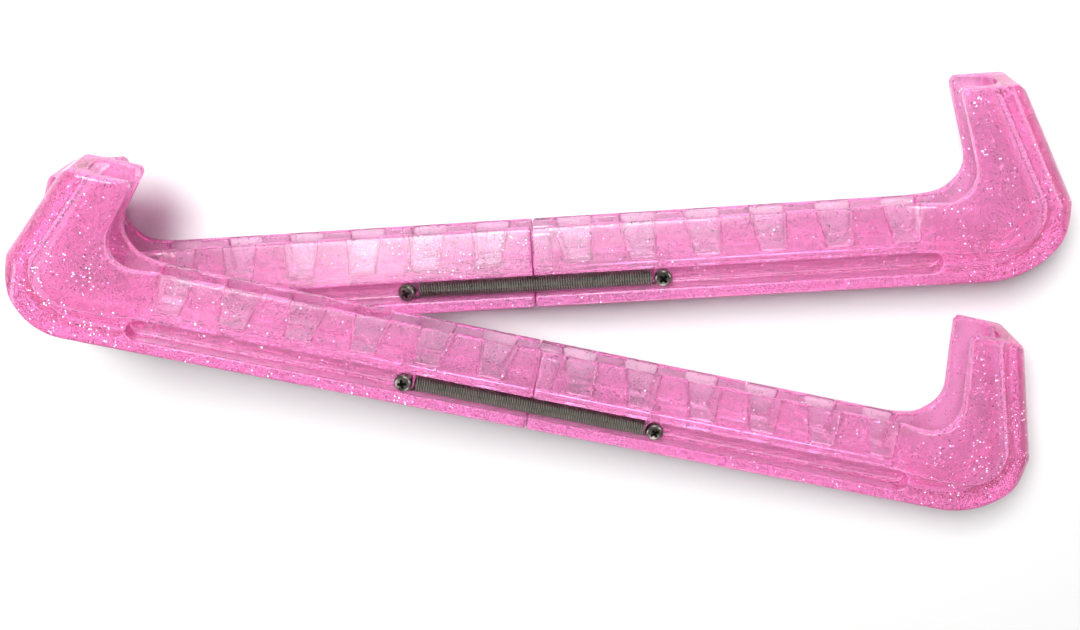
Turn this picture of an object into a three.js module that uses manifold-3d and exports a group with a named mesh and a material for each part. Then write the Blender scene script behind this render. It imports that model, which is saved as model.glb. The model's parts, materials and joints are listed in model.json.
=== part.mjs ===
// A pair of two-piece ice-skate blade guards, lying on their sides, one resting across the other.
// Each guard is a toe shell and a heel shell that meet at a seam in the middle. A coil spring on each
// side, hooked over a screw in each shell, pulls the shells together, so the guard grips the blade.
//
// Guard frame, millimetres: x along the blade (toe at -x, heel at +x, seam at 0), y up out of the blade
// slot (sole at 0), z across the guard (mid-plane at 0). Pair frame: the flat guard's axes, +Z up.

import * as THREE from "three";
import { mergeVertices } from "three/addons/utils/BufferGeometryUtils.js";
import Module from "manifold-3d";

const wasm = await Module();
wasm.setup();

// ---------- driving dimensions ----------
const GUARD_WIDTH = 20.5;
const HALF_WIDTH = GUARD_WIDTH / 2;
const FIT_GAP = 0.3; // clearance between pieces that touch
const EDGE_ROUND = 1.2;
const END_ROUND = 6.5; // the hooks' outer corners, seen from above
const PLAN_OVER = 0.3; // how far the outline from above stands outside the guard's sides
const PAST_SEAM = 8; // how far each half is drawn past the seam before it is cut there
const SPARE = 1; // how far a cutting solid reaches beyond the material it cuts
const AMPLE = 5; // the same for solids that run well clear of the shell
const TRIM = 0.2; // how far apart two cuts are kept that would otherwise share a face

// the straight channel
const RIM_HEIGHT = 22.8;
const RIM_HALF = 4.9; // half-width over the walls at the rim
const LEDGE_HEIGHT = 9.8; // underside of the tapered walls, above the spring groove
const LEDGE_HALF = 9.3;
const FLANGE_HEIGHT = 3.9; // top of the sole flange, below the spring groove
const FLANGE_HALF = 9.8;
const GROOVE_HALF = 4.9; // half-width left between the two spring grooves
const GROOVE_END = 115; // where the spring groove ends, from the seam
const SHOULDER_START = 105; // the tapered wall widens into the hook from here
const SHOULDER_END = 127;

// the blade slot
const SOLE_THICKNESS = 3.6;
const BLADE_HALF = 2.3; // lower slot, for the blade's edge
const SLOT_HALF = 2.75; // upper slot
const SLOT_STEP_HEIGHT = 9.6;
const CAVITY_HALF = 6.5; // wide space in the hooks, for the toe picks and the blade's tail
const CAVITY_FLOOR = 8;
const CAVITY_START = 110;
const CAVITY_WIDE = 121; // the slot has widened to the cavity's width here
const CAVITY_ROUND = 5;
const LEAST_CORNER = 4; // smallest round corner of the space in a hook, from the side

// pockets that lighten the channel's walls
const POCKETS = 6;
const POCKET_PITCH = 18.5;
const POCKET_FIRST = 6.2; // near end of the first pocket at the rim
const POCKET_LENGTH = 10.9;
const POCKET_SLANT = 3; // how much further out the near end is at the pocket's floor
const POCKET_FLARE = 0.3; // and how much further in it is above the rim
const POCKET_FLOOR = 12.3;
const POCKET_DIP = 1.6; // how much lower the pocket's floor is at the slot
const SKIN = 1.45;

// tongues on the toe shell, in recesses of the heel shell
const TONGUE = { root: 3, length: 5.2, outer: 4.35, low: 10.8, high: 20 };

// springs and screws
const SPRING_HEIGHT = 6.85;
const SPRING_Z = 7.55;
const SPRING_RADIUS = 2.3;
const WIRE = 0.75;
const HOOK_LAP = 0.6; // how far the straight wire at each end runs back into the coil
const SPRING_BODY_HALF = 33.3;
const SCREW_X = 37;
const SHANK_RADIUS = 1.25;
const SHANK_LENGTH = 4.6;
const HEAD_RADIUS = 2.6;
const HEAD_HEIGHT = 1.9;
const HEAD_SEAT = 8.2; // underside of the screw head
const RECESS = { length: 3, width: 0.8, depth: 1 }; // the cross in the head
const BOSS_RADIUS = 2.6;
const BOSS_TOP = 6.9;

// the toe shell's drain hole
const DRAIN = { x: -109.5, y: 8.2, radius: 1 };

// The hooks' side outlines, as distances from the seam and heights above the sole.
const HEEL = {
  dir: 1,
  top: 55.5,
  topInner: 118.5,
  topOuter: 135,
  lean: 0.23, // of the inner edge towards the seam, per mm of height
  widest: 150,
  widestHeight: 21,
  cornerStart: 127,
  wall: 6,
};
const TOE = {
  dir: -1,
  top: 48.5,
  topInner: 118.7,
  topOuter: 137,
  lean: 0.3,
  widest: 150,
  widestHeight: 20,
  cornerStart: 132,
  wall: 5.6,
};
const HOOK_FILLET = 9;
const CORNER_ARC_END = 0.12; // radians past the hook's widest point where its round corner ends
// chamfers at the hook's top: their reach along the guard and down
const OUTER_CHAMFER = { out: 1, in: 1.6, down: 2.2 };
const INNER_CHAMFER = { near: 0.3, far: 1.3, down: 1.5 };

// the leaning guard lies across the flat one
// (its heel hook rests on the table along a line from `side` to `tip`, and its toe end on the flat one)
const LEAN = { x: -6, y: -32, turn: -18, tilt: 5.65, side: [150, 20], tip: [135, 55.5] };

const PINK = { color: 0xf26db4, roughness: 0.28, metalness: 0 };
const STEEL = { color: 0x8f8a80, roughness: 0.35, metalness: 1 };
const SCREW_STEEL = { color: 0x9a948c, roughness: 0.3, metalness: 1 };

// ---------- solids ----------
function solid(geometry) {
  const g = geometry.index ? geometry.toNonIndexed() : geometry.clone();
  const bare = new THREE.BufferGeometry().setAttribute("position", g.getAttribute("position"));
  const merged = mergeVertices(bare, 1e-4);
  const mesh = new wasm.Mesh({
    numProp: 3,
    vertProperties: new Float32Array(merged.attributes.position.array),
    triVerts: new Uint32Array(merged.index.array),
  });
  return new wasm.Manifold(mesh);
}

function geometryOf(manifold) {
  const mesh = manifold.getMesh();
  const geometry = new THREE.BufferGeometry();
  geometry.setAttribute("position", new THREE.BufferAttribute(mesh.vertProperties, 3));
  geometry.setIndex(new THREE.BufferAttribute(mesh.triVerts, 1));
  geometry.computeVertexNormals();
  return geometry;
}

const shapeOf = (points) => new THREE.Shape(points.map(([x, y]) => new THREE.Vector2(x, y)));

// A side outline in x and y, extruded across the guard from z0 to z1. With a round, its edges are rounded.
function acrossPrism(points, z0, z1, round = 0, segments = 2) {
  const settings = { depth: z1 - z0 - 2 * round, bevelEnabled: round > 0, curveSegments: 12 };
  if (round > 0) {
    Object.assign(settings, {
      bevelThickness: round,
      bevelSize: round,
      bevelOffset: -round,
      bevelSegments: segments,
    });
  }
  return solid(new THREE.ExtrudeGeometry(shapeOf(points), settings).translate(0, 0, z0 + round));
}

// A cross-section in z and y, extruded along x from x0 to x1.
function alongPrism(points, x0, x1) {
  const low = Math.min(x0, x1);
  const turned = points.map(([z, y]) => [-z, y]);
  const geometry = new THREE.ExtrudeGeometry(shapeOf(turned), {
    depth: Math.abs(x1 - x0),
    bevelEnabled: false,
  });
  return solid(geometry.rotateY(Math.PI / 2).translate(low, 0, 0));
}

function block(x0, x1, y0, y1, z0, z1) {
  const geometry = new THREE.BoxGeometry(Math.abs(x1 - x0), y1 - y0, z1 - z0);
  return solid(geometry.translate((x0 + x1) / 2, (y0 + y1) / 2, (z0 + z1) / 2));
}

// A cylinder across the guard.
function peg(x, y, z0, z1, radius, sides = 20) {
  const geometry = new THREE.CylinderGeometry(radius, radius, z1 - z0, sides);
  return solid(geometry.rotateX(Math.PI / 2).translate(x, y, (z0 + z1) / 2));
}

// Both sides of the guard at once: the solid, and its mirror image in the mid-plane.
function bothSides(make) {
  return make(1).add(make(-1));
}

const smooth = (t) => {
  const c = Math.min(1, Math.max(0, t));
  return c * c * (3 - 2 * c);
};

// ---------- outlines ----------
const arc = (cx, cy, rx, ry, from, to, steps) =>
  Array.from({ length: steps + 1 }, (_, i) => {
    const a = from + ((to - from) * i) / steps;
    return [cx + rx * Math.cos(a), cy + ry * Math.sin(a)];
  });

// The fillet between the rim and the hook's inner edge, from the rim upwards.
function innerEdge(hook) {
  const lean = Math.atan(hook.lean);
  const cy = RIM_HEIGHT + HOOK_FILLET;
  const cx = hook.topInner + (hook.top - cy) * hook.lean - HOOK_FILLET / Math.cos(lean);
  return arc(cx, cy, HOOK_FILLET, HOOK_FILLET, -Math.PI / 2, lean, 12);
}

// The whole shell from the side, from the seam outwards.
function shellOutline(hook, seam) {
  const corner = arc(
    hook.cornerStart,
    hook.widestHeight,
    hook.widest - hook.cornerStart,
    hook.widestHeight,
    -Math.PI / 2,
    CORNER_ARC_END,
    16,
  );
  return [
    [seam, 0],
    ...corner,
    [hook.topOuter + OUTER_CHAMFER.out, hook.top - OUTER_CHAMFER.down],
    [hook.topOuter - OUTER_CHAMFER.in, hook.top],
    [hook.topInner + INNER_CHAMFER.far, hook.top],
    [hook.topInner + INNER_CHAMFER.near, hook.top - INNER_CHAMFER.down],
    ...innerEdge(hook).reverse(),
    [seam, RIM_HEIGHT],
  ].map(([x, y]) => [hook.dir * x, y]);
}

const outerLean = (hook) => (hook.widest - hook.topOuter) / (hook.top - hook.widestHeight);

// The space inside a hook, one wall's thickness in from its outer end and open above.
function endOutline(hook, start, floor, wall) {
  const above = hook.top + 2 * AMPLE;
  const cornerRadius = Math.max(LEAST_CORNER, hook.widestHeight - floor);
  const end = hook.widest - wall;
  return [
    [start, floor],
    ...arc(end - cornerRadius, floor + cornerRadius, cornerRadius, cornerRadius, -Math.PI / 2, 0, 9),
    [end - outerLean(hook) * (above - hook.widestHeight), above],
    [start, above],
  ].map(([x, y]) => [hook.dir * x, y]);
}

// ---------- the shells ----------
// The guard's cross-sections along x: tapered walls over the flange, widening into the hook.
function sections(hook) {
  const stations = [-PAST_SEAM, SHOULDER_START];
  const steps = 8;
  for (let i = 1; i <= steps; i++) {
    stations.push(SHOULDER_START + ((SHOULDER_END - SHOULDER_START) * i) / steps);
  }
  stations.push(hook.widest + AMPLE);
  const full = HALF_WIDTH + SPARE / 2;
  const rings = stations.map((s) => {
    const t = smooth((s - SHOULDER_START) / (SHOULDER_END - SHOULDER_START));
    const [flange, ledge, rim] = [FLANGE_HALF, LEDGE_HALF, RIM_HALF].map((h) => h + (full - h) * t);
    const right = [
      [flange, -2 * SPARE],
      [flange, FLANGE_HEIGHT],
      [ledge, LEDGE_HEIGHT],
      [rim, RIM_HEIGHT],
      [rim, hook.top + AMPLE],
    ];
    const left = right.map(([z, y]) => [-z, y]).reverse();
    return [...right, ...left].map(([z, y]) => [hook.dir * s, y, z]);
  });
  return loft(rings, ([, y, z]) => [z, y]);
}

// An upright solid whose outline from above ends at the hook's outer end, leaning in as the hook does.
function upright(hook, y0, y1, inset, ringAt) {
  const heights = y0 < hook.widestHeight ? [y0, hook.widestHeight, y1] : [y0, y1];
  const rings = heights.map((y) => {
    const lean = outerLean(hook) * Math.max(0, y - hook.widestHeight);
    const half = ringAt(hook.widest - inset - lean);
    const mirrored = half.map(([x, z]) => [x, -z]).reverse();
    return [...half, ...mirrored].map(([x, z]) => [hook.dir * x, y, z]);
  });
  return loft(rings, ([x, , z]) => [x, z]);
}

const roundedEnd = (end, half, radius) =>
  arc(end - radius, half - radius, radius, radius, Math.PI / 2, 0, 8);

function hookPlan(hook) {
  const half = HALF_WIDTH + PLAN_OVER;
  return upright(hook, -2 * SPARE, hook.top + 2 * SPARE, -TRIM, (end) => [
    [-PAST_SEAM - SPARE, half],
    ...roundedEnd(end, half, END_ROUND),
  ]);
}

function cavity(hook) {
  const plan = upright(hook, CAVITY_FLOOR - SPARE, hook.top + 3 * SPARE, hook.wall, (end) => [
    [CAVITY_START, SLOT_HALF - TRIM],
    [CAVITY_WIDE, CAVITY_HALF],
    ...roundedEnd(end, CAVITY_HALF, CAVITY_ROUND),
  ]);
  const side = acrossPrism(
    endOutline(hook, CAVITY_START - 2 * SPARE, CAVITY_FLOOR, hook.wall - TRIM),
    -CAVITY_HALF - SPARE,
    CAVITY_HALF + SPARE,
  );
  return plan.intersect(side);
}

// A closed solid through rings of the same number of points.
function loft(rings, flatten) {
  const n = rings[0].length;
  const flat = rings[0].map((point) => new THREE.Vector2(...flatten(point)));
  const clockwise = THREE.ShapeUtils.isClockWise(flat);
  const triangles = THREE.ShapeUtils.triangulateShape(flat, []);
  const caps = clockwise ? triangles.map(([a, b, c]) => [a, c, b]) : triangles;
  const at = (ring, i) => ring * n + (i % n);
  const faces = [];
  for (let r = 0; r + 1 < rings.length; r++) {
    for (let i = 0; i < n; i++) {
      faces.push([at(r, i), at(r, i + 1), at(r + 1, i + 1)], [at(r, i), at(r + 1, i + 1), at(r + 1, i)]);
    }
  }
  const last = rings.length - 1;
  for (const [a, b, c] of caps) {
    faces.push([at(0, c), at(0, b), at(0, a)], [at(last, a), at(last, b), at(last, c)]);
  }
  const points = rings.flat();
  const volume = faces.reduce((sum, [a, b, c]) => {
    const [p, q, r] = [a, b, c].map((i) => new THREE.Vector3(...points[i]));
    return sum + p.dot(q.cross(r));
  }, 0);
  const wound = volume < 0 ? faces.map(([a, b, c]) => [a, c, b]) : faces;
  return new wasm.Manifold(
    new wasm.Mesh({
      numProp: 3,
      vertProperties: new Float32Array(points.flat()),
      triVerts: new Uint32Array(wound.flat()),
    }),
  );
}

function springGroove(hook, side) {
  const radius = (LEDGE_HEIGHT - FLANGE_HEIGHT) / 2;
  const middle = (LEDGE_HEIGHT + FLANGE_HEIGHT) / 2;
  const outline = [
    [-PAST_SEAM, FLANGE_HEIGHT],
    ...arc(GROOVE_END - radius, middle, radius, radius, -Math.PI / 2, Math.PI / 2, 8),
    [-PAST_SEAM, LEDGE_HEIGHT],
  ].map(([x, y]) => [hook.dir * x, y]);
  const [z0, z1] = [GROOVE_HALF, HALF_WIDTH + AMPLE].map((z) => side * z).sort((a, b) => a - b);
  return acrossPrism(outline, z0, z1);
}

function pockets(hook) {
  const wallAt = (y) =>
    LEDGE_HALF + ((RIM_HALF - LEDGE_HALF) * (y - LEDGE_HEIGHT)) / (RIM_HEIGHT - LEDGE_HEIGHT);
  const top = RIM_HEIGHT + SPARE;
  const low = wallAt(POCKET_FLOOR) - SKIN;
  const high = wallAt(top) - SKIN;
  const section = [
    [high, top],
    [low, POCKET_FLOOR],
    [BLADE_HALF, POCKET_FLOOR - POCKET_DIP],
    [-BLADE_HALF, POCKET_FLOOR - POCKET_DIP],
    [-low, POCKET_FLOOR],
    [-high, top],
  ];
  const space = alongPrism(section, 0, hook.dir * CAVITY_START);
  let cuts = null;
  for (let i = 0; i < POCKETS; i++) {
    const near = POCKET_FIRST + i * POCKET_PITCH;
    const far = near + POCKET_LENGTH;
    const outline = [
      [near + POCKET_SLANT, POCKET_FLOOR - POCKET_DIP - SPARE],
      [far, POCKET_FLOOR - POCKET_DIP - SPARE],
      [far, top + SPARE],
      [near - POCKET_FLARE, top + SPARE],
      [near + POCKET_SLANT, POCKET_FLOOR],
    ].map(([x, y]) => [hook.dir * x, y]);
    const one = acrossPrism(outline, -HALF_WIDTH, HALF_WIDTH);
    cuts = cuts ? cuts.add(one) : one;
  }
  return space.intersect(cuts);
}

function shell(hook) {
  let body = acrossPrism(shellOutline(hook, -PAST_SEAM), -HALF_WIDTH, HALF_WIDTH, EDGE_ROUND, 2);
  body = body.intersect(sections(hook)).intersect(hookPlan(hook));
  body = body.subtract(bothSides((side) => springGroove(hook, side)));
  // bosses under the screws
  const bossX = hook.dir * SCREW_X;
  body = body.add(peg(bossX, SPRING_HEIGHT, -BOSS_TOP, BOSS_TOP, BOSS_RADIUS));
  // the blade slot, narrower at the bottom, and the wide space in the hook
  for (const [half, floor] of [[BLADE_HALF, SOLE_THICKNESS], [SLOT_HALF, SLOT_STEP_HEIGHT]]) {
    const outline = endOutline(hook, -PAST_SEAM - SPARE, floor, hook.wall + TRIM);
    body = body.subtract(acrossPrism(outline, -half, half));
  }
  body = body.subtract(cavity(hook)).subtract(pockets(hook));
  for (const side of [1, -1]) {
    const [z0, z1] = [HEAD_SEAT - SHANK_LENGTH - FIT_GAP, BOSS_TOP + SPARE]
      .map((z) => side * z)
      .sort((a, b) => a - b);
    body = body.subtract(peg(bossX, SPRING_HEIGHT, z0, z1, SHANK_RADIUS + FIT_GAP, 16));
  }
  // the seam
  const seam = [hook.dir * -2 * PAST_SEAM, (hook.dir * FIT_GAP) / 2];
  const across = HALF_WIDTH + SPARE;
  return body.subtract(block(...seam, -SPARE, hook.top + SPARE, -across, across));
}

// The tongues lie against the slot's walls. The recesses, with `grow` of clearance, open onto the slot.
function tongues(grow) {
  return bothSides((side) => {
    const inner = grow > 0 ? SLOT_HALF - 0.5 : SLOT_HALF;
    const [z0, z1] = [inner, TONGUE.outer + grow].map((z) => side * z).sort((a, b) => a - b);
    return block(-TONGUE.root, TONGUE.length + grow, TONGUE.low - grow, TONGUE.high + grow, z0, z1);
  });
}

const drain = peg(DRAIN.x, DRAIN.y, -HALF_WIDTH - SPARE, HALF_WIDTH + SPARE, DRAIN.radius, 12);
const toeShell = () => shell(TOE).add(tongues(0)).subtract(drain);
const heelShell = () => shell(HEEL).subtract(tongues(FIT_GAP));

// ---------- springs and screws ----------
function springSolid(side) {
  const z = side * SPRING_Z;
  const inner = SPRING_RADIUS - WIRE;
  const profile = [
    [inner, -SPRING_BODY_HALF],
    [SPRING_RADIUS, -SPRING_BODY_HALF],
    [SPRING_RADIUS, SPRING_BODY_HALF],
    [inner, SPRING_BODY_HALF],
    [inner, -SPRING_BODY_HALF],
  ].map(([x, y]) => new THREE.Vector2(x, y));
  const body = new THREE.LatheGeometry(profile, 20).rotateZ(Math.PI / 2).translate(0, SPRING_HEIGHT, z);
  let made = solid(body);
  // each end's wire runs straight on from the coil and round the screw
  const loopRadius = SPRING_RADIUS - WIRE / 2;
  for (const dir of [1, -1]) {
    const loop = new THREE.TorusGeometry(loopRadius, WIRE / 2, 6, 20);
    made = made.add(solid(loop.translate(dir * SCREW_X, SPRING_HEIGHT, z)));
    const reach = SCREW_X - SPRING_BODY_HALF + HOOK_LAP;
    const neck = new THREE.CylinderGeometry(WIRE / 2, WIRE / 2, reach, 8).rotateZ(Math.PI / 2);
    const middle = dir * (SCREW_X - reach / 2);
    made = made.add(solid(neck.translate(middle, SPRING_HEIGHT - loopRadius, z)));
  }
  return made;
}

function screwSolid(dir, side) {
  const profile = [
    [0, -SHANK_LENGTH],
    [SHANK_RADIUS * 0.6, -SHANK_LENGTH],
    [SHANK_RADIUS, -SHANK_LENGTH + 0.8],
    [SHANK_RADIUS, 0],
    [HEAD_RADIUS, 0],
    [HEAD_RADIUS, HEAD_HEIGHT * 0.45],
    [HEAD_RADIUS * 0.86, HEAD_HEIGHT * 0.8],
    [HEAD_RADIUS * 0.5, HEAD_HEIGHT],
    [0, HEAD_HEIGHT],
  ].map(([x, y]) => new THREE.Vector2(x, y));
  let made = solid(new THREE.LatheGeometry(profile, 20));
  for (const turn of [0, Math.PI / 2]) {
    const slot = new THREE.BoxGeometry(RECESS.length, 2 * RECESS.depth, RECESS.width);
    made = made.subtract(solid(slot.rotateY(turn).translate(0, HEAD_HEIGHT, 0)));
  }
  const placed = new THREE.Matrix4()
    .makeTranslation(dir * SCREW_X, SPRING_HEIGHT, side * HEAD_SEAT)
    .multiply(new THREE.Matrix4().makeRotationX((side * Math.PI) / 2));
  return made.transform(placed.elements);
}

// ---------- the pair ----------
function named(name, manifold, finish) {
  const mesh = new THREE.Mesh(geometryOf(manifold), new THREE.MeshStandardMaterial(finish));
  mesh.name = name;
  return mesh;
}

const SIDES = { upper: 1, under: -1 };

function guard(prefix) {
  const group = new THREE.Group();
  group.add(named(`${prefix}_toe_shell`, toeShell(), PINK));
  group.add(named(`${prefix}_heel_shell`, heelShell(), PINK));
  for (const [sideName, side] of Object.entries(SIDES)) {
    group.add(named(`${prefix}_${sideName}_spring`, springSolid(side), STEEL));
    group.add(named(`${prefix}_${sideName}_toe_screw`, screwSolid(-1, side), SCREW_STEEL));
    group.add(named(`${prefix}_${sideName}_heel_screw`, screwSolid(1, side), SCREW_STEEL));
  }
  return group;
}

const pair = new THREE.Group();
const flat = guard("flat");
flat.position.z = HALF_WIDTH;
pair.add(flat);

const leaning = guard("leaning");
const restLine = new THREE.Vector3(LEAN.tip[0] - LEAN.side[0], LEAN.tip[1] - LEAN.side[1], 0).normalize();
leaning.quaternion
  .setFromAxisAngle(new THREE.Vector3(0, 0, 1), THREE.MathUtils.degToRad(LEAN.turn))
  .multiply(
    new THREE.Quaternion().setFromAxisAngle(restLine, THREE.MathUtils.degToRad(LEAN.tilt)),
  );
leaning.position.set(LEAN.x, LEAN.y, 0);
leaning.updateMatrixWorld(true);
leaning.position.z = -new THREE.Box3().setFromObject(leaning, true).min.z;
pair.add(leaning);

// the origin is at the middle of the pair's footprint, on the table
pair.updateMatrixWorld(true);
const bounds = new THREE.Box3().setFromObject(pair, true);
const centre = bounds.getCenter(new THREE.Vector3());
pair.position.set(-centre.x, -centre.y, -bounds.min.z);

export default pair;
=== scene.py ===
"""Looks of a pair of translucent, spring-loaded blade guards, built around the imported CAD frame.

The shells are the CAD nodes with rounded edges and a glitter plastic. The springs and screws are
finer pieces that stand for their CAD nodes: a real wound coil, and a pan head with a cross recess.
"""

import json
import math

import bpy
import bmesh
from mathutils import Matrix, Vector


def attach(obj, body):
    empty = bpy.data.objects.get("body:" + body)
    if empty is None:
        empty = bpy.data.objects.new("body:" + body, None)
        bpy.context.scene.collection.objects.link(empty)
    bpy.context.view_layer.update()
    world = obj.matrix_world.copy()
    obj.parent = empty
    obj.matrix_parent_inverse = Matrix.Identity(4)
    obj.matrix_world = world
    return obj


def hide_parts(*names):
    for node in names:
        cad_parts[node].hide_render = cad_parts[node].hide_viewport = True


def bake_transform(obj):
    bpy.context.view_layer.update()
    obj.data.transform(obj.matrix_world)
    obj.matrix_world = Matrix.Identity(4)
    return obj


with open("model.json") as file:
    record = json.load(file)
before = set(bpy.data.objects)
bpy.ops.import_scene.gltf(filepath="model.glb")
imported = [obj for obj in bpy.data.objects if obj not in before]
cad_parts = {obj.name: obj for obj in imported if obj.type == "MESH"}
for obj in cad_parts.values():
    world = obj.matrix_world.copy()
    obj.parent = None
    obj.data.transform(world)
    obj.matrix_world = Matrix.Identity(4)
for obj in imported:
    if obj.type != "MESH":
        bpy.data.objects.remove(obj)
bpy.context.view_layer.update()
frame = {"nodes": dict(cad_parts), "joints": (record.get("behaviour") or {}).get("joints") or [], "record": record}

MM = 0.001
GUARDS = ("flat", "leaning")

# ---------- where each guard lies ----------
# Guard frame: u along the blade (toe at -u), v up out of the blade slot, w across the guard.
SOLE_THICKNESS = 3.6 * MM
MOUNT_U = 60 * MM  # both mounts below are this far along the blade
MOUNTS = {"flat": ("flat_blade_seat", 1, SOLE_THICKNESS), "leaning": ("leaning_tread", -1, 0.0)}


def guard_matrix(guard):
    """The guard's frame in the row frame, from its mount and the axis of its sliding joint."""
    joint = next(j for j in frame["joints"] if j["name"] == f"{guard}_pull_apart")
    name, way, height = MOUNTS[guard]
    mount = next(m for m in frame["record"]["mounts"] if m["name"] == name)
    u = -Vector(joint["axis"]).normalized()
    v = way * Vector(mount["axis"]).normalized()
    w = u.cross(v)
    origin = Vector(mount["pos_m"]) - MOUNT_U * u - height * v
    rows = [(u[i], v[i], w[i], origin[i]) for i in range(3)]
    return Matrix([*rows, (0, 0, 0, 1)])


GUARD_FRAMES = {guard: guard_matrix(guard) for guard in GUARDS}

# ---------- dimensions of the springs and screws, in the guard frame ----------
SPRING_V = 6.85 * MM
SPRING_W = 7.55 * MM
WIRE = 0.7 * MM
COIL_RADIUS = 2.07 * MM  # to the middle of the wire
COIL_HALF = 33.7 * MM
COIL_PITCH = 0.71 * MM
HOOK_BEND = 0.9 * MM
HOOK_WRAP = math.radians(318)  # round the screw
STEPS_PER_TURN = 22
WIRE_SIDES = 8
SCREW_U = 37 * MM
HEAD_SEAT = 8.2 * MM
HEAD_RADIUS = 2.6 * MM
HEAD_HEIGHT = 1.9 * MM
SHANK_RADIUS = 1.25 * MM
SHANK_LENGTH = 4.6 * MM


# ---------- small helpers ----------
def new_object(name, mesh):
    obj = bpy.data.objects.new(name, mesh)
    bpy.context.scene.collection.objects.link(obj)
    return obj


def shade_smooth(mesh):
    mesh.polygons.foreach_set("use_smooth", [True] * len(mesh.polygons))


def tube(name, points, radius, sides):
    """A closed round tube along a centreline, its rings carried along without twisting."""
    mesh = bmesh.new()
    rings = []
    normal = None
    last = len(points) - 1
    for i, point in enumerate(points):
        along = (points[min(i + 1, last)] - points[max(i - 1, 0)]).normalized()
        if normal is None:
            normal = along.orthogonal()
        normal = (normal - along * normal.dot(along)).normalized()
        side = along.cross(normal)
        ring = []
        for k in range(sides):
            turn = 2 * math.pi * k / sides
            ring.append(mesh.verts.new(point + radius * (math.cos(turn) * normal + math.sin(turn) * side)))
        rings.append(ring)
    for one, two in zip(rings, rings[1:]):
        for k in range(sides):
            mesh.faces.new((one[k], one[(k + 1) % sides], two[(k + 1) % sides], two[k]))
    mesh.faces.new(list(reversed(rings[0])))
    mesh.faces.new(rings[-1])
    bmesh.ops.recalc_face_normals(mesh, faces=mesh.faces)
    made = bpy.data.meshes.new(name)
    mesh.to_mesh(made)
    mesh.free()
    shade_smooth(made)
    return made


# ---------- node helpers ----------
class Nodes:
    """Short calls for building one material's nodes."""

    def __init__(self, name):
        self.material = bpy.data.materials.new(name)
        self.material.use_nodes = True
        self.tree = self.material.node_tree
        self.shader = self.tree.nodes["Principled BSDF"]
        self.output = self.tree.nodes["Material Output"]
        self.place = self.add("ShaderNodeTexCoord").outputs["Object"]

    def add(self, kind, **settings):
        node = self.tree.nodes.new(kind)
        for key, value in settings.items():
            setattr(node, key, value)
        return node

    def feed(self, socket, value):
        if isinstance(value, bpy.types.NodeSocket):
            self.tree.links.new(value, socket)
        else:
            socket.default_value = value

    def maths(self, operation, *values, clamp=False):
        node = self.add("ShaderNodeMath", operation=operation, use_clamp=clamp)
        for socket, value in zip(node.inputs, values):
            self.feed(socket, value)
        return node.outputs[0]

    def noise(self, size, detail=2.0, roughness=0.5):
        """Noise whose features are about `size` metres across, from 0 to 1."""
        node = self.add("ShaderNodeTexNoise")
        self.feed(node.inputs["Vector"], self.place)
        self.feed(node.inputs["Scale"], 1 / size)
        self.feed(node.inputs["Detail"], detail)
        self.feed(node.inputs["Roughness"], roughness)
        return node.outputs["Fac"]

    def ramp(self, value, low, high, to_low=0.0, to_high=1.0):
        """`value` from low..high, brought to to_low..to_high and held there."""
        node = self.add("ShaderNodeMapRange")
        for socket, number in zip(node.inputs, (value, low, high, to_low, to_high)):
            self.feed(socket, number)
        return node.outputs[0]

    def mix(self, share, one, two):
        node = self.add("ShaderNodeMix", data_type="RGBA")
        self.feed(node.inputs["Factor"], share)
        self.feed(node.inputs["A"], one)
        self.feed(node.inputs["B"], two)
        return node.outputs["Result"]

    def bump(self, height, distance, normal=None):
        node = self.add("ShaderNodeBump")
        self.feed(node.inputs["Height"], height)
        self.feed(node.inputs["Distance"], distance)
        self.feed(node.inputs["Strength"], 1.0)
        if normal is not None:
            self.feed(node.inputs["Normal"], normal)
        return node.outputs["Normal"]

    def set(self, **values):
        for key, value in values.items():
            self.feed(self.shader.inputs[key.replace("_", " ")], value)


def colour(red, green, blue):
    return (red, green, blue, 1.0)


# ---------- the plastic ----------
WALL_DEPTH = "wall_depth"
RAY_START = 0.05 * MM  # below the surface, so that a ray doesn't hit its own face
RAY_REACH = 100 * MM


def wall_depth_nodes():
    """Geometry nodes that store, at each point, how deep the plastic is behind the surface there."""
    group = bpy.data.node_groups.new(WALL_DEPTH, "GeometryNodeTree")
    group.interface.new_socket("Geometry", in_out="INPUT", socket_type="NodeSocketGeometry")
    group.interface.new_socket("Geometry", in_out="OUTPUT", socket_type="NodeSocketGeometry")
    add, link = group.nodes.new, group.links.new
    start, end = add("NodeGroupInput"), add("NodeGroupOutput")
    normal, position = add("GeometryNodeInputNormal"), add("GeometryNodeInputPosition")

    inward = add("ShaderNodeVectorMath")
    inward.operation = "SCALE"
    inward.inputs["Scale"].default_value = -1.0
    link(normal.outputs[0], inward.inputs[0])
    step = add("ShaderNodeVectorMath")
    step.operation = "MULTIPLY_ADD"
    step.inputs[1].default_value = [RAY_START] * 3
    link(inward.outputs[0], step.inputs[0])
    link(position.outputs[0], step.inputs[2])

    ray = add("GeometryNodeRaycast")
    link(start.outputs[0], ray.inputs["Target Geometry"])
    link(step.outputs[0], ray.inputs["Source Position"])
    link(inward.outputs[0], ray.inputs["Ray Direction"])
    ray.inputs["Ray Length"].default_value = RAY_REACH
    blur = add("GeometryNodeBlurAttribute")
    blur.inputs["Iterations"].default_value = 3
    link(ray.outputs["Hit Distance"], blur.inputs["Value"])
    store = add("GeometryNodeStoreNamedAttribute")
    store.inputs["Name"].default_value = WALL_DEPTH
    link(start.outputs[0], store.inputs["Geometry"])
    link(blur.outputs[0], store.inputs["Value"])
    link(store.outputs[0], end.inputs[0])
    return group


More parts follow.
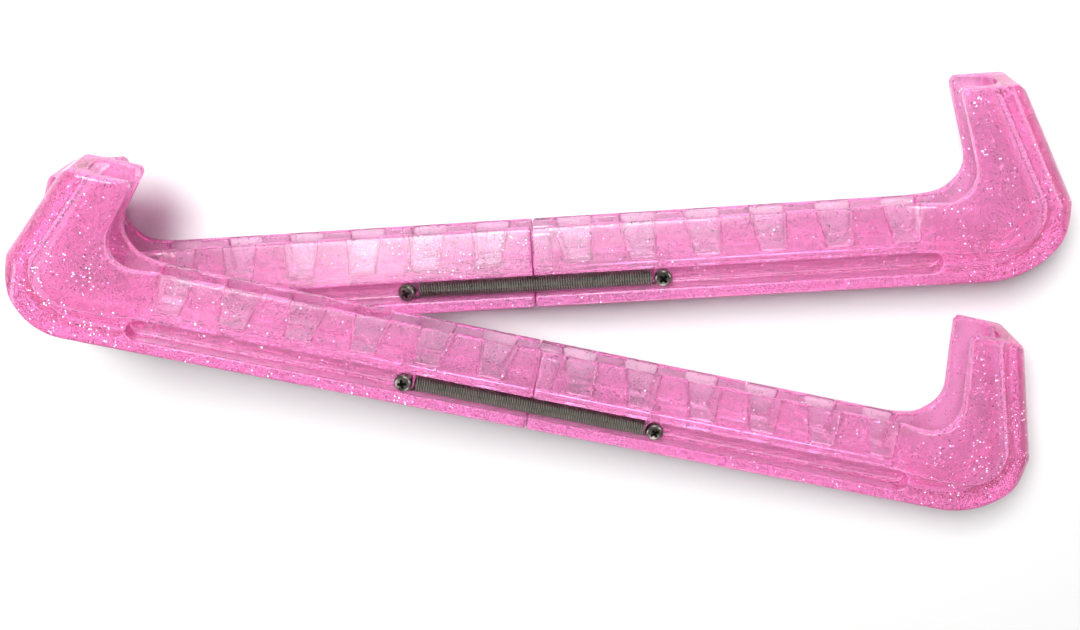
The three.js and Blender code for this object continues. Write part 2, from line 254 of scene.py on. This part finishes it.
# Thin walls are nearly clear. Deep material shows its pigment, and looks a strong pink.
THIN_WALL = 1.7 * MM
DEEP_WALL = 10.5 * MM
THIN_TINT = colour(1.0, 0.88, 0.96)
DEEP_TINT = colour(1.0, 0.70, 0.90)
PIGMENT = colour(1.0, 0.20, 0.60)
PALE_PIGMENT = colour(1.0, 0.40, 0.78)
PIGMENT_GRAIN = 0.12 * MM
THIN_PIGMENT = 0.09  # share of the surface
DEEP_PIGMENT = 0.38
# each kind of flake: cell size, share of the cells with a flake, largest radius in cells
LARGE_FLAKES = (0.75 * MM, 0.10, 0.29)
FINE_FLAKES = (0.48 * MM, 0.14, 0.36)
FLAKE_CROWD = 8 * MM  # how far apart the crowded places are
SPARSE = 0.2  # times the share
CROWDED = 2.6
FLAKE_LIGHT = colour(1.0, 0.92, 0.97)
FLAKE_FAINT = colour(1.0, 0.66, 0.86)
FLAKE_DARK = colour(0.42, 0.20, 0.30)
TRANSMISSION = 0.95
BODY_COLOUR = colour(0.97, 0.37, 0.75)
BODY_DENSITY = 100.0  # per metre


def flakes(nodes, size, share, reach):
    """Glitter in cells `size` across, `share` of them with a flake.

    Gives the flakes' mask, a random colour for each cell and the part of it that picks the flake's shade.
    """
    cells = nodes.add("ShaderNodeTexVoronoi")
    nodes.feed(cells.inputs["Vector"], nodes.place)
    nodes.feed(cells.inputs["Scale"], 1 / size)
    split = nodes.add("ShaderNodeSeparateColor")
    nodes.feed(split.inputs[0], cells.outputs["Color"])
    crowding = nodes.ramp(nodes.noise(FLAKE_CROWD, detail=2), 0.40, 0.67, SPARSE * share, CROWDED * share)
    present = nodes.maths("LESS_THAN", split.outputs[0], crowding)
    radius = nodes.ramp(split.outputs[1], 0, 1, reach * 0.6, reach)
    inside = nodes.maths("LESS_THAN", cells.outputs["Distance"], radius)
    return nodes.maths("MULTIPLY", present, inside), cells.outputs["Color"], split.outputs[2]


def glitter_plastic():
    nodes = Nodes("translucent_glitter_plastic")
    wall = nodes.add("ShaderNodeAttribute", attribute_name=WALL_DEPTH).outputs["Fac"]
    depth = nodes.maths("POWER", nodes.ramp(wall, THIN_WALL, DEEP_WALL), 1.3)
    clouds = nodes.ramp(nodes.noise(12 * MM, detail=3), 0.3, 0.7, -0.12, 0.12)
    depth = nodes.maths("ADD", depth, clouds, clamp=True)
    tint = nodes.mix(depth, THIN_TINT, DEEP_TINT)

    grains = nodes.add("ShaderNodeTexVoronoi")
    nodes.feed(grains.inputs["Vector"], nodes.place)
    nodes.feed(grains.inputs["Scale"], 1 / PIGMENT_GRAIN)
    pick = nodes.add("ShaderNodeSeparateColor")
    nodes.feed(pick.inputs[0], grains.outputs["Color"])
    pigment = nodes.maths("LESS_THAN", pick.outputs[0], nodes.ramp(depth, 0, 1, THIN_PIGMENT, DEEP_PIGMENT))
    tint = nodes.mix(pigment, tint, nodes.mix(pick.outputs[1], PIGMENT, PALE_PIGMENT))

    large, large_random, large_shade = flakes(nodes, *LARGE_FLAKES)
    fine, fine_random, fine_shade = flakes(nodes, *FINE_FLAKES)
    mask = nodes.maths("MAXIMUM", large, fine)
    shade = nodes.mix(large, fine_shade, large_shade)
    bright = nodes.mix(nodes.ramp(shade, 0.5, 0.85), FLAKE_FAINT, FLAKE_LIGHT)
    flake = nodes.mix(nodes.ramp(shade, 0.18, 0.22), FLAKE_DARK, bright)
    tint = nodes.mix(mask, tint, flake)

    # each flake faces its own way
    lean = nodes.add("ShaderNodeVectorMath", operation="SUBTRACT")
    nodes.feed(lean.inputs[0], nodes.mix(large, fine_random, large_random))
    nodes.feed(lean.inputs[1], (0.5, 0.5, 0.5))
    by_mask = nodes.add("ShaderNodeVectorMath", operation="SCALE")
    nodes.feed(by_mask.inputs[0], lean.outputs[0])
    nodes.feed(by_mask.inputs["Scale"], mask)
    waves = nodes.bump(nodes.noise(5 * MM, detail=2), 0.04 * MM)
    skin = nodes.bump(nodes.noise(0.5 * MM, detail=2), 0.004 * MM, normal=waves)
    tilted = nodes.add("ShaderNodeVectorMath", operation="ADD")
    nodes.feed(tilted.inputs[0], skin)
    nodes.feed(tilted.inputs[1], by_mask.outputs[0])
    normal = nodes.add("ShaderNodeVectorMath", operation="NORMALIZE")
    nodes.feed(normal.inputs[0], tilted.outputs[0])

    clear = nodes.maths("SUBTRACT", 1.0, nodes.maths("MAXIMUM", mask, pigment), clamp=True)
    nodes.set(
        Base_Color=tint,
        Metallic=mask,
        Roughness=nodes.ramp(nodes.noise(3 * MM), 0.3, 0.7, 0.12, 0.18),
        IOR=1.46,
        Transmission_Weight=nodes.maths("MULTIPLY", clear, TRANSMISSION),
        Normal=normal.outputs[0],
    )
    body = nodes.add("ShaderNodeVolumeAbsorption")
    nodes.feed(body.inputs["Color"], BODY_COLOUR)
    nodes.feed(body.inputs["Density"], BODY_DENSITY)
    nodes.tree.links.new(body.outputs[0], nodes.output.inputs["Volume"])
    return nodes.material


# ---------- the metals ----------
def dark_steel(name, tone, rough_low, rough_high):
    nodes = Nodes(name)
    smears = nodes.noise(1.6 * MM, detail=4, roughness=0.6)
    grime = nodes.noise(0.35 * MM, detail=3)
    worn = nodes.mix(nodes.ramp(smears, 0.35, 0.7), tone, colour(*(min(1.0, c * 1.5) for c in tone[:3])))
    stained = nodes.mix(nodes.ramp(grime, 0.5, 0.75, 0, 0.5), worn, colour(0.09, 0.07, 0.06))
    nodes.set(
        Base_Color=stained,
        Metallic=1.0,
        Roughness=nodes.ramp(smears, 0.3, 0.7, rough_low, rough_high),
        Normal=nodes.bump(grime, 0.02 * MM),
    )
    return nodes.material


PLASTIC = glitter_plastic()
SPRING_STEEL = dark_steel("wound_spring_steel", colour(0.19, 0.176, 0.155), 0.26, 0.40)
SCREW_STEEL = dark_steel("screw_steel", colour(0.20, 0.18, 0.165), 0.2, 0.38)
# near-black steel for the cross recess: painted shade, darkening the recess where its walls would otherwise
# reflect bright
RECESS_PAINTED_SHADE = dark_steel("screw_recess_painted_shade", colour(0.03, 0.026, 0.022), 0.4, 0.6)

# ---------- the shells ----------
VOXEL = 0.42 * MM
DEPTH_NODES = wall_depth_nodes()


def soften(node):
    """Gives a moulded shell its rounded edges, and the plastic."""
    obj = frame["nodes"][node]
    remesh = obj.modifiers.new("rounded", "REMESH")
    remesh.mode = "VOXEL"
    remesh.voxel_size = VOXEL
    remesh.use_smooth_shade = True
    smooth = obj.modifiers.new("moulded", "SMOOTH")
    smooth.factor = 0.5
    smooth.iterations = 3
    obj.modifiers.new("depth", "NODES").node_group = DEPTH_NODES
    obj.data.materials.clear()
    obj.data.materials.append(PLASTIC)
    for polygon in obj.data.polygons:
        polygon.material_index = 0


for guard in GUARDS:
    for half in ("toe", "heel"):
        soften(f"{guard}_{half}_shell")


# ---------- the springs ----------
def spring_line():
    """The wire's centreline in the guard frame's directions, from one hook to the other."""
    coil_steps = round(2 * COIL_HALF / COIL_PITCH) * STEPS_PER_TURN
    bend_steps = 6
    run_steps = 3

    def hook(way):
        """From the coil's end out along the spring and round the screw."""
        points = []
        for i in range(1, bend_steps + 1):
            a = i / bend_steps * math.pi / 2
            sideways = HOOK_BEND * math.sin(a) * (1 - i / (2 * bend_steps))
            points.append(Vector((COIL_HALF + HOOK_BEND * (1 - math.cos(a)), -COIL_RADIUS, -sideways)))
        for i in range(1, run_steps + 1):
            u = COIL_HALF + HOOK_BEND + (SCREW_U - COIL_HALF - HOOK_BEND) * i / (run_steps + 1)
            points.append(Vector((u, -COIL_RADIUS, -0.5 * HOOK_BEND * (1 - i / run_steps))))
        for i in range(STEPS_PER_TURN):
            a = -math.pi / 2 + i / (STEPS_PER_TURN - 1) * HOOK_WRAP
            points.append(Vector((SCREW_U + COIL_RADIUS * math.cos(a), COIL_RADIUS * math.sin(a), 0)))
        return [Vector((way * p.x, p.y, way * p.z)) for p in points]

    coil = []
    for i in range(coil_steps + 1):
        a = math.pi + 2 * math.pi * i / STEPS_PER_TURN
        u = -COIL_HALF + 2 * COIL_HALF * i / coil_steps
        coil.append(Vector((u, COIL_RADIUS * math.cos(a), COIL_RADIUS * math.sin(a))))
    return list(reversed(hook(-1))) + coil + hook(1)


LINE = spring_line()


def spring(guard, side_name, side):
    node = f"{guard}_{side_name}_spring"
    place = GUARD_FRAMES[guard] @ Matrix.Translation((0, SPRING_V, side * SPRING_W))
    if side < 0:
        place = place @ Matrix.Rotation(math.pi, 4, "X") @ Matrix.Diagonal((1, -1, 1, 1))
    mesh = tube(node, [place @ p for p in LINE], WIRE / 2, WIRE_SIDES)
    obj = new_object(f"{guard}_{side_name}_coil_spring", mesh)
    obj.data.materials.append(SPRING_STEEL)
    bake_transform(obj)
    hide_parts(node)


# ---------- the screws ----------
RECESS_REACH = 1.55 * MM
RECESS_WIDTH = 0.9 * MM
RECESS_DEPTH = 1.25 * MM
RECESS_BOTTOM = 0.7 * MM  # its reach at the bottom
CROWN_STEPS = 8
CROWN_INSET = 0.95 * MM
HEAD_SIDES = 48


def lathe(profile, sides):
    """A solid turned from (radius, height) points that start and end on the axis."""
    mesh = bmesh.new()
    rings = []
    for radius, height in profile:
        if radius == 0:
            rings.append([mesh.verts.new((0, 0, height))])
            continue
        angles = [2 * math.pi * k / sides for k in range(sides)]
        rings.append([mesh.verts.new((radius * math.cos(a), radius * math.sin(a), height)) for a in angles])
    for one, two in zip(rings, rings[1:]):
        for k in range(sides):
            n = (k + 1) % sides
            corners = [one[k % len(one)], one[n % len(one)], two[n % len(two)], two[k % len(two)]]
            mesh.faces.new(list(dict.fromkeys(corners)))
    bmesh.ops.recalc_face_normals(mesh, faces=mesh.faces)
    return mesh


def screw_mesh():
    """A pan-head screw pointing down -Z, its head's seat at 0, with a tapered cross recess."""
    crown = []
    for i in range(CROWN_STEPS + 1):
        a = math.pi / 2 * i / CROWN_STEPS
        radius = HEAD_RADIUS - CROWN_INSET * (1 - math.cos(a))
        crown.append((radius, HEAD_HEIGHT * 0.35 + HEAD_HEIGHT * 0.55 * math.sin(a)))
    profile = [
        (0, -SHANK_LENGTH),
        (SHANK_RADIUS * 0.6, -SHANK_LENGTH),
        (SHANK_RADIUS, -SHANK_LENGTH + 0.8 * MM),
        (SHANK_RADIUS, 0),
        (HEAD_RADIUS * 0.97, 0),
        (HEAD_RADIUS, 0.1 * MM),
        *crown,
        (HEAD_RADIUS * 0.35, HEAD_HEIGHT * 0.98),
        (0, HEAD_HEIGHT),
    ]
    turned = lathe(profile, HEAD_SIDES)
    mesh = bpy.data.meshes.new("screw")
    turned.to_mesh(mesh)
    turned.free()
    body = new_object("screw_blank", mesh)
    cross = bmesh.new()
    for turn in (0, math.pi / 2):
        top, low = HEAD_HEIGHT + 0.2 * MM, HEAD_HEIGHT - RECESS_DEPTH
        half = RECESS_WIDTH / 2
        corners = [
            (RECESS_REACH, half, top), (RECESS_REACH, -half, top),
            (-RECESS_REACH, -half, top), (-RECESS_REACH, half, top),
            (RECESS_BOTTOM, half * 0.7, low), (RECESS_BOTTOM, -half * 0.7, low),
            (-RECESS_BOTTOM, -half * 0.7, low), (-RECESS_BOTTOM, half * 0.7, low),
        ]
        verts = [cross.verts.new(Matrix.Rotation(turn, 3, "Z") @ Vector(c)) for c in corners]
        for face in ((0, 1, 2, 3), (7, 6, 5, 4), (0, 4, 5, 1), (1, 5, 6, 2), (2, 6, 7, 3), (3, 7, 4, 0)):
            cross.faces.new([verts[i] for i in face])
    bmesh.ops.recalc_face_normals(cross, faces=cross.faces)
    cutter_mesh = bpy.data.meshes.new("cross")
    cross.to_mesh(cutter_mesh)
    cross.free()
    cutter = new_object("cross", cutter_mesh)
    cut = body.modifiers.new("recess", "BOOLEAN")
    cut.object = cutter
    cut.solver = "EXACT"
    cut.use_self = True
    edge = body.modifiers.new("edges", "BEVEL")
    edge.width = 0.07 * MM
    edge.segments = 2
    edge.limit_method = "ANGLE"
    edge.angle_limit = math.radians(35)
    depsgraph = bpy.context.evaluated_depsgraph_get()
    made = bpy.data.meshes.new_from_object(body.evaluated_get(depsgraph))
    for obj in (body, cutter):
        bpy.data.objects.remove(obj)
    shade_smooth(made)
    made.materials.clear()
    made.materials.append(SCREW_STEEL)
    made.materials.append(RECESS_PAINTED_SHADE)
    # faces inside the cross recess take the near-black second material, painted shade in the recess
    floor_height = HEAD_HEIGHT - RECESS_DEPTH
    for face in made.polygons:
        near_axis = face.center.xy.length < RECESS_REACH + 0.02 * MM
        sunk = face.center.z < floor_height + 0.1 * MM or face.normal.z < 0.6
        in_recess = near_axis and face.center.z > floor_height - 0.02 * MM and sunk
        face.material_index = 1 if in_recess else 0
    return made


SCREW = screw_mesh()
# (half, along the blade, turn of the cross in degrees, lean of the head towards the toe)
SCREWS = (("toe", -1, 20, 13), ("heel", 1, 42, 0))
LEANING_HEAD_LIFT = 0.35 * MM


def screw(guard, side_name, side, half, way, turn, lean):
    """One screw. The upper toe screws are not quite home: their heads lean, and stand a little proud."""
    node = f"{guard}_{side_name}_{half}_screw"
    lean = lean if side > 0 else 0
    lift = LEANING_HEAD_LIFT if lean else 0
    obj = new_object(f"{guard}_{side_name}_{half}_pan_screw", SCREW.copy())
    upright = Matrix.Translation((way * SCREW_U, SPRING_V, side * (HEAD_SEAT + lift)))
    if side < 0:
        upright = upright @ Matrix.Rotation(math.pi, 4, "X")
    tilt = Matrix.Rotation(math.radians(-lean), 4, "Y") @ Matrix.Rotation(math.radians(turn), 4, "Z")
    obj.data.transform(GUARD_FRAMES[guard] @ upright @ tilt)
    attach(obj, f"{guard}_{half}")
    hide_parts(node)


for guard in GUARDS:
    for side_name, side in (("upper", 1), ("under", -1)):
        spring(guard, side_name, side)
        for values in SCREWS:
            screw(guard, side_name, side, *values)


# ---------- floor, camera and lights ----------
FLOOR_REACH = 3.0
FLOOR_DROP = 0.05 * MM
CAMERA_PLACE = Vector((35, 138, 367.3)) * MM
CAMERA_TARGET = Vector((-1.0, -10.2, 0)) * MM
CAMERA_ROLL = math.radians(-5.25)
CAMERA_LENS = 43.3
WORLD_LIGHT = 0.2
KEY_PLACE = (-0.16, 0.66, 1.0)
KEY_POWER = 26.8
GLINT_PLACES = {"left": (-0.95, -0.2), "right": (0.95, 0.1), "far": (0.2, 1.0), "near": (0.0, -0.95)}
GLINT_HEIGHT = 0.7
GLINT_POWER = 4.8
BOX_SIZE = 0.55


def floor():
    mesh = bpy.data.meshes.new("floor")
    corners = [(x * FLOOR_REACH, y * FLOOR_REACH, 0) for x, y in ((-1, -1), (1, -1), (1, 1), (-1, 1))]
    mesh.from_pydata(corners, [], [(0, 1, 2, 3)])
    obj = new_object("floor", mesh)
    obj.location.z = -FLOOR_DROP
    nodes = Nodes("pale_floor")
    nodes.set(Base_Color=colour(0.72, 0.72, 0.72), Roughness=0.8)
    mesh.materials.append(nodes.material)


def camera():
    """From above and a little to the slot side, as in the photograph. Places are from the flat guard."""
    flat = GUARD_FRAMES["flat"].translation
    ground = Vector((flat.x, flat.y, 0))
    place = ground + CAMERA_PLACE
    target = ground + CAMERA_TARGET
    forward = (target - place).normalized()
    right = forward.cross(Vector((0, 1, 0))).normalized()
    up = right.cross(forward)
    turned_right = math.cos(CAMERA_ROLL) * right + math.sin(CAMERA_ROLL) * up
    turned_up = -math.sin(CAMERA_ROLL) * right + math.cos(CAMERA_ROLL) * up
    data = bpy.data.cameras.new("camera")
    data.lens = CAMERA_LENS
    data.sensor_width = 36
    data.clip_start = 0.01
    obj = bpy.data.objects.new("camera", data)
    bpy.context.scene.collection.objects.link(obj)
    rows = [(turned_right[i], turned_up[i], -forward[i], place[i]) for i in range(3)]
    obj.matrix_world = Matrix([*rows, (0, 0, 0, 1)])
    bpy.context.scene.camera = obj


def softbox(name, place, power, mirrored=True, lights=True):
    """A square lamp facing the guards, which may be left out of the reflections or of the matt light."""
    data = bpy.data.lights.new(name, "AREA")
    data.shape = "SQUARE"
    data.size = BOX_SIZE
    data.energy = power
    obj = bpy.data.objects.new(name, data)
    bpy.context.scene.collection.objects.link(obj)
    obj.visible_glossy = mirrored
    obj.visible_diffuse = lights
    obj.location = place
    obj.rotation_euler = (-Vector(place)).to_track_quat("-Z", "Y").to_euler()


def studio():
    scene = bpy.context.scene
    world = bpy.data.worlds.new("studio")
    world.use_nodes = True
    background = world.node_tree.nodes["Background"]
    background.inputs["Color"].default_value = colour(1, 1, 1)
    background.inputs["Strength"].default_value = WORLD_LIGHT
    scene.world = world
    softbox("key", KEY_PLACE, KEY_POWER, mirrored=False)
    for name, (x, y) in GLINT_PLACES.items():
        softbox(f"glint_{name}", (x, y, GLINT_HEIGHT), GLINT_POWER, lights=False)
    scene.view_settings.view_transform = "Standard"
    scene.view_settings.look = "None"


floor()
camera()
studio()
